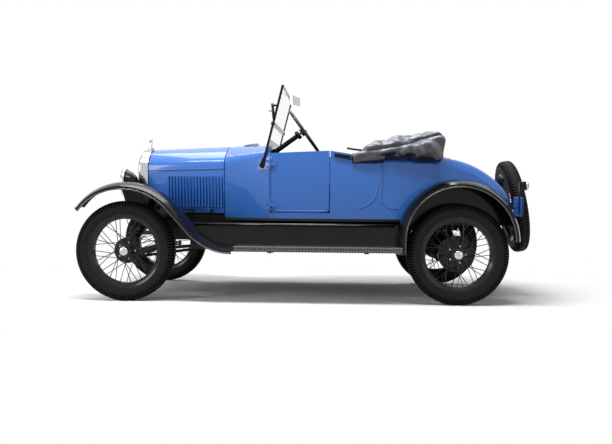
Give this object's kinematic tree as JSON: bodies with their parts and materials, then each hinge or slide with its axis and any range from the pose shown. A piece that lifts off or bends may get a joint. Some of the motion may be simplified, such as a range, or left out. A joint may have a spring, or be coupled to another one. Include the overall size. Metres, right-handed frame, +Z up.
{
  "type": "two-seat roadster car",
  "caption": "Open two-seat roadster of the 1920s with wire wheels, full fenders, running boards, folded cloth top and a spare wheel at the back.",
  "frame": {"origin": "on the ground under the middle of the car's overall box", "axes": "the car faces -X, its left side is -Y, +Z is up"},
  "size_m": [3.592, 1.67, 1.6834],
  "materials": {
    "blue_paint": "gloss",
    "black_paint": "gloss",
    "wheel_paint": "gloss",
    "nickel": "polished",
    "steel": "satin",
    "iron": "matt",
    "tyre_rubber": "matt",
    "leather": "satin",
    "top_cloth": "matt",
    "floor_wood": "satin",
    "wheel_rim": "gloss",
    "clear_glass": "gloss"
  },
  "bodies": {
    "chassis": {"chassis_frame": "black_paint", "engine": "iron", "exhaust": "iron", "leaf_springs": "black_paint", "front_axle": "black_paint", "rear_axle": "black_paint", "steering_column": "black_paint", "radiator_shell": "nickel", "radiator_core": "iron", "radiator_cap": "nickel", "hood_rod": "blue_paint", "hood_shelves": "black_paint", "cowl": "blue_paint", "firewall": "black_paint", "dash_panel": "black_paint", "door_hinges": "blue_paint", "rear_deck": "blue_paint", "rear_body": "blue_paint", "floor_boards": "floor_wood", "seat_cushion": "leather", "seat_back": "leather", "windshield_frame": "black_paint", "windshield_glass": "clear_glass", "rear_mirror": "nickel", "folded_top": "top_cloth", "top_irons": "black_paint", "splash_aprons": "black_paint", "front_fenders": "black_paint", "rear_fenders": "black_paint", "running_boards": "black_paint", "headlamps": "black_paint", "headlamp_lenses": "clear_glass", "spare_carrier": "black_paint", "spare_wheel": "wheel_paint", "spare_tyre": "tyre_rubber", "tail_lamp": "black_paint", "floor_controls": "steel"},
    "knuckle_left": {"knuckle_left": "black_paint"},
    "knuckle_right": {"knuckle_right": "black_paint"},
    "tie_rod": {"tie_rod": "black_paint"},
    "drop_arm": {"drop_arm": "black_paint"},
    "steering_wheel": {"steering_wheel": "wheel_rim"},
    "door_left": {"door_left": "blue_paint"},
    "door_right": {"door_right": "blue_paint"},
    "hood_left": {"hood_top_left": "blue_paint", "hood_side_left": "blue_paint"},
    "hood_right": {"hood_top_right": "blue_paint", "hood_side_right": "blue_paint"},
    "deck_lid": {"deck_lid": "blue_paint"},
    "wheel_front_left": {"wheel_front_left": "wheel_paint", "tyre_front_left": "tyre_rubber"},
    "wheel_front_right": {"wheel_front_right": "wheel_paint", "tyre_front_right": "tyre_rubber"},
    "wheel_rear_left": {"wheel_rear_left": "wheel_paint", "tyre_rear_left": "tyre_rubber"},
    "wheel_rear_right": {"wheel_rear_right": "wheel_paint", "tyre_rear_right": "tyre_rubber"}
  },
  "joints": [
    {"name": "steer_left", "type": "hinge", "parent": "chassis", "child": "knuckle_left", "pos_m": [-1.411, -0.62, 0.385], "axis": [0, 0, 1], "range_deg": [-35, 35]},
    {"name": "steer_right", "type": "hinge", "parent": "chassis", "child": "knuckle_right", "pos_m": [-1.411, 0.62, 0.385], "axis": [0, 0, 1], "range_deg": [-35, 35]},
    {"name": "tie_rod_swing", "type": "hinge", "parent": "knuckle_left", "child": "tie_rod", "pos_m": [-1.261, -0.62, 0.372], "axis": [0, 0, 1], "range_deg": [-35, 35]},
    {"name": "drop_arm_swing", "type": "hinge", "parent": "chassis", "child": "drop_arm", "pos_m": [-1.25695, -0.225, 0.48], "axis": [0.809, 0, 0.5878], "range_deg": [-35, 35]},
    {"name": "steering_wheel_turn", "type": "hinge", "parent": "chassis", "child": "steering_wheel", "pos_m": [-0.065, -0.225, 1.346], "axis": [0.809, 0, 0.5878], "range_deg": [-175, 175]},
    {"name": "spin_front_left", "type": "hinge", "parent": "knuckle_left", "child": "wheel_front_left", "pos_m": [-1.411, -0.711, 0.385], "axis": [0, 1, 0], "continuous": true},
    {"name": "spin_front_right", "type": "hinge", "parent": "knuckle_right", "child": "wheel_front_right", "pos_m": [-1.411, 0.711, 0.385], "axis": [0, 1, 0], "continuous": true},
    {"name": "spin_rear_left", "type": "hinge", "parent": "chassis", "child": "wheel_rear_left", "pos_m": [1.129, -0.711, 0.385], "axis": [0, 1, 0], "continuous": true},
    {"name": "spin_rear_right", "type": "hinge", "parent": "chassis", "child": "wheel_rear_right", "pos_m": [1.129, 0.711, 0.385], "axis": [0, 1, 0], "continuous": true},
    {"name": "door_left_hinge", "type": "hinge", "parent": "chassis", "child": "door_left", "pos_m": [-0.313, -0.578, 0.93], "axis": [0, 0, -1], "range_deg": [0, 75]},
    {"name": "door_right_hinge", "type": "hinge", "parent": "chassis", "child": "door_right", "pos_m": [-0.313, 0.578, 0.93], "axis": [0, 0, 1], "range_deg": [0, 75]},
    {"name": "hood_left_hinge", "type": "hinge", "parent": "chassis", "child": "hood_left", "pos_m": [-1.3485, 0, 1.187], "axis": [0.9988, 0, 0.049], "range_deg": [-55, 0]},
    {"name": "hood_right_hinge", "type": "hinge", "parent": "chassis", "child": "hood_right", "pos_m": [-1.3485, 0, 1.187], "axis": [0.9988, 0, 0.049], "range_deg": [0, 55]},
    {"name": "deck_lid_hinge", "type": "hinge", "parent": "chassis", "child": "deck_lid", "pos_m": [1.089, 0, 1.13197], "axis": [0, -1, 0], "range_deg": [0, 50]}
  ],
  "couplings": [
    {"joint": "steer_right", "follows": "steer_left", "ratio": 1},
    {"joint": "tie_rod_swing", "follows": "steer_left", "ratio": -1},
    {"joint": "drop_arm_swing", "follows": "steer_left", "ratio": 1},
    {"joint": "steering_wheel_turn", "follows": "steer_left", "ratio": 5}
  ]
}
